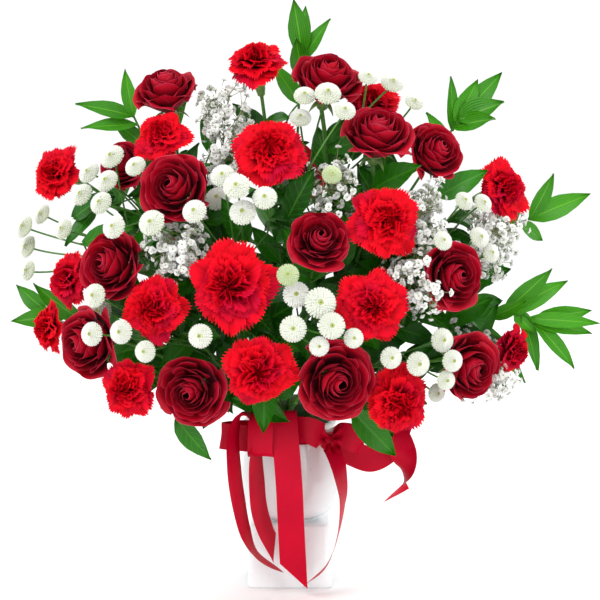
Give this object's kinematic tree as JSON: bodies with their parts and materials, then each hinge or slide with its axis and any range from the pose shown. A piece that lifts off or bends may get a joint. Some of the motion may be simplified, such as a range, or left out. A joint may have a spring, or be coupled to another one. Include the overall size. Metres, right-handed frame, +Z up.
{
  "type": "vase of carnations and roses",
  "caption": "Front-facing dome of red carnations and dark roses with white button blooms, baby's breath and ruscus, in a white urn with a red satin ribbon.",
  "frame": {"origin": "middle of the plinth's flat underside, on the surface that the urn stands on", "axes": "+Z up along the urn's axis, -Y to the front that the blooms face, +X to the right of someone looking at the front"},
  "size_m": [0.5614, 0.3933, 0.5601],
  "materials": {
    "urn": "gloss white glaze",
    "floral_foam": "wet dark green foam",
    "ribbon": "red satin",
    "carnation_petals": "matte bright red petals",
    "rose_petals": "velvety dark red petals",
    "button_florets": "matte white ray florets with a green-yellow centre",
    "breath_florets": "tiny white florets on green twigs",
    "stems_and_leaves": "waxy green stems, calyxes and leaves",
    "ruscus_leaves": "glossy green leaves with parallel veins"
  },
  "bodies": {
    "root": {"breath_back": "breath_florets", "breath_far_right": "breath_florets", "breath_left": "breath_florets", "breath_right": "breath_florets", "buttons_front": "button_florets", "buttons_left": "button_florets", "buttons_low_left": "button_florets", "buttons_low_right": "button_florets", "buttons_right": "button_florets", "buttons_top": "button_florets", "buttons_upper_left": "button_florets", "carnation_01": "carnation_petals", "carnation_02": "carnation_petals", "carnation_03": "carnation_petals", "carnation_04": "carnation_petals", "carnation_05": "carnation_petals", "carnation_06": "carnation_petals", "carnation_07": "carnation_petals", "carnation_08": "carnation_petals", "carnation_09": "carnation_petals", "carnation_10": "carnation_petals", "carnation_11": "carnation_petals", "carnation_12": "carnation_petals", "carnation_13": "carnation_petals", "carnation_14": "carnation_petals", "carnation_15": "carnation_petals", "carnation_16": "carnation_petals", "carnation_17": "carnation_petals", "carnation_18": "carnation_petals", "floral_foam": "floral_foam", "ribbon": "ribbon", "rose_01": "rose_petals", "rose_02": "rose_petals", "rose_03": "rose_petals", "rose_04": "rose_petals", "rose_05": "rose_petals", "rose_06": "rose_petals", "rose_07": "rose_petals", "rose_08": "rose_petals", "rose_09": "rose_petals", "rose_10": "rose_petals", "rose_11": "rose_petals", "rose_12": "rose_petals", "rose_13": "rose_petals", "rose_14": "rose_petals", "ruscus_back": "ruscus_leaves", "ruscus_left": "ruscus_leaves", "ruscus_low_right": "ruscus_leaves", "ruscus_right": "ruscus_leaves", "ruscus_top": "ruscus_leaves", "ruscus_upper_left": "ruscus_leaves", "ruscus_upper_right": "ruscus_leaves", "stems_back": "stems_and_leaves", "stems_front": "stems_and_leaves", "stems_left_high": "stems_and_leaves", "stems_left_low": "stems_and_leaves", "stems_right_high": "stems_and_leaves", "stems_right_low": "stems_and_leaves", "stems_top": "stems_and_leaves", "urn": "urn"}
  },
  "joints": []
}
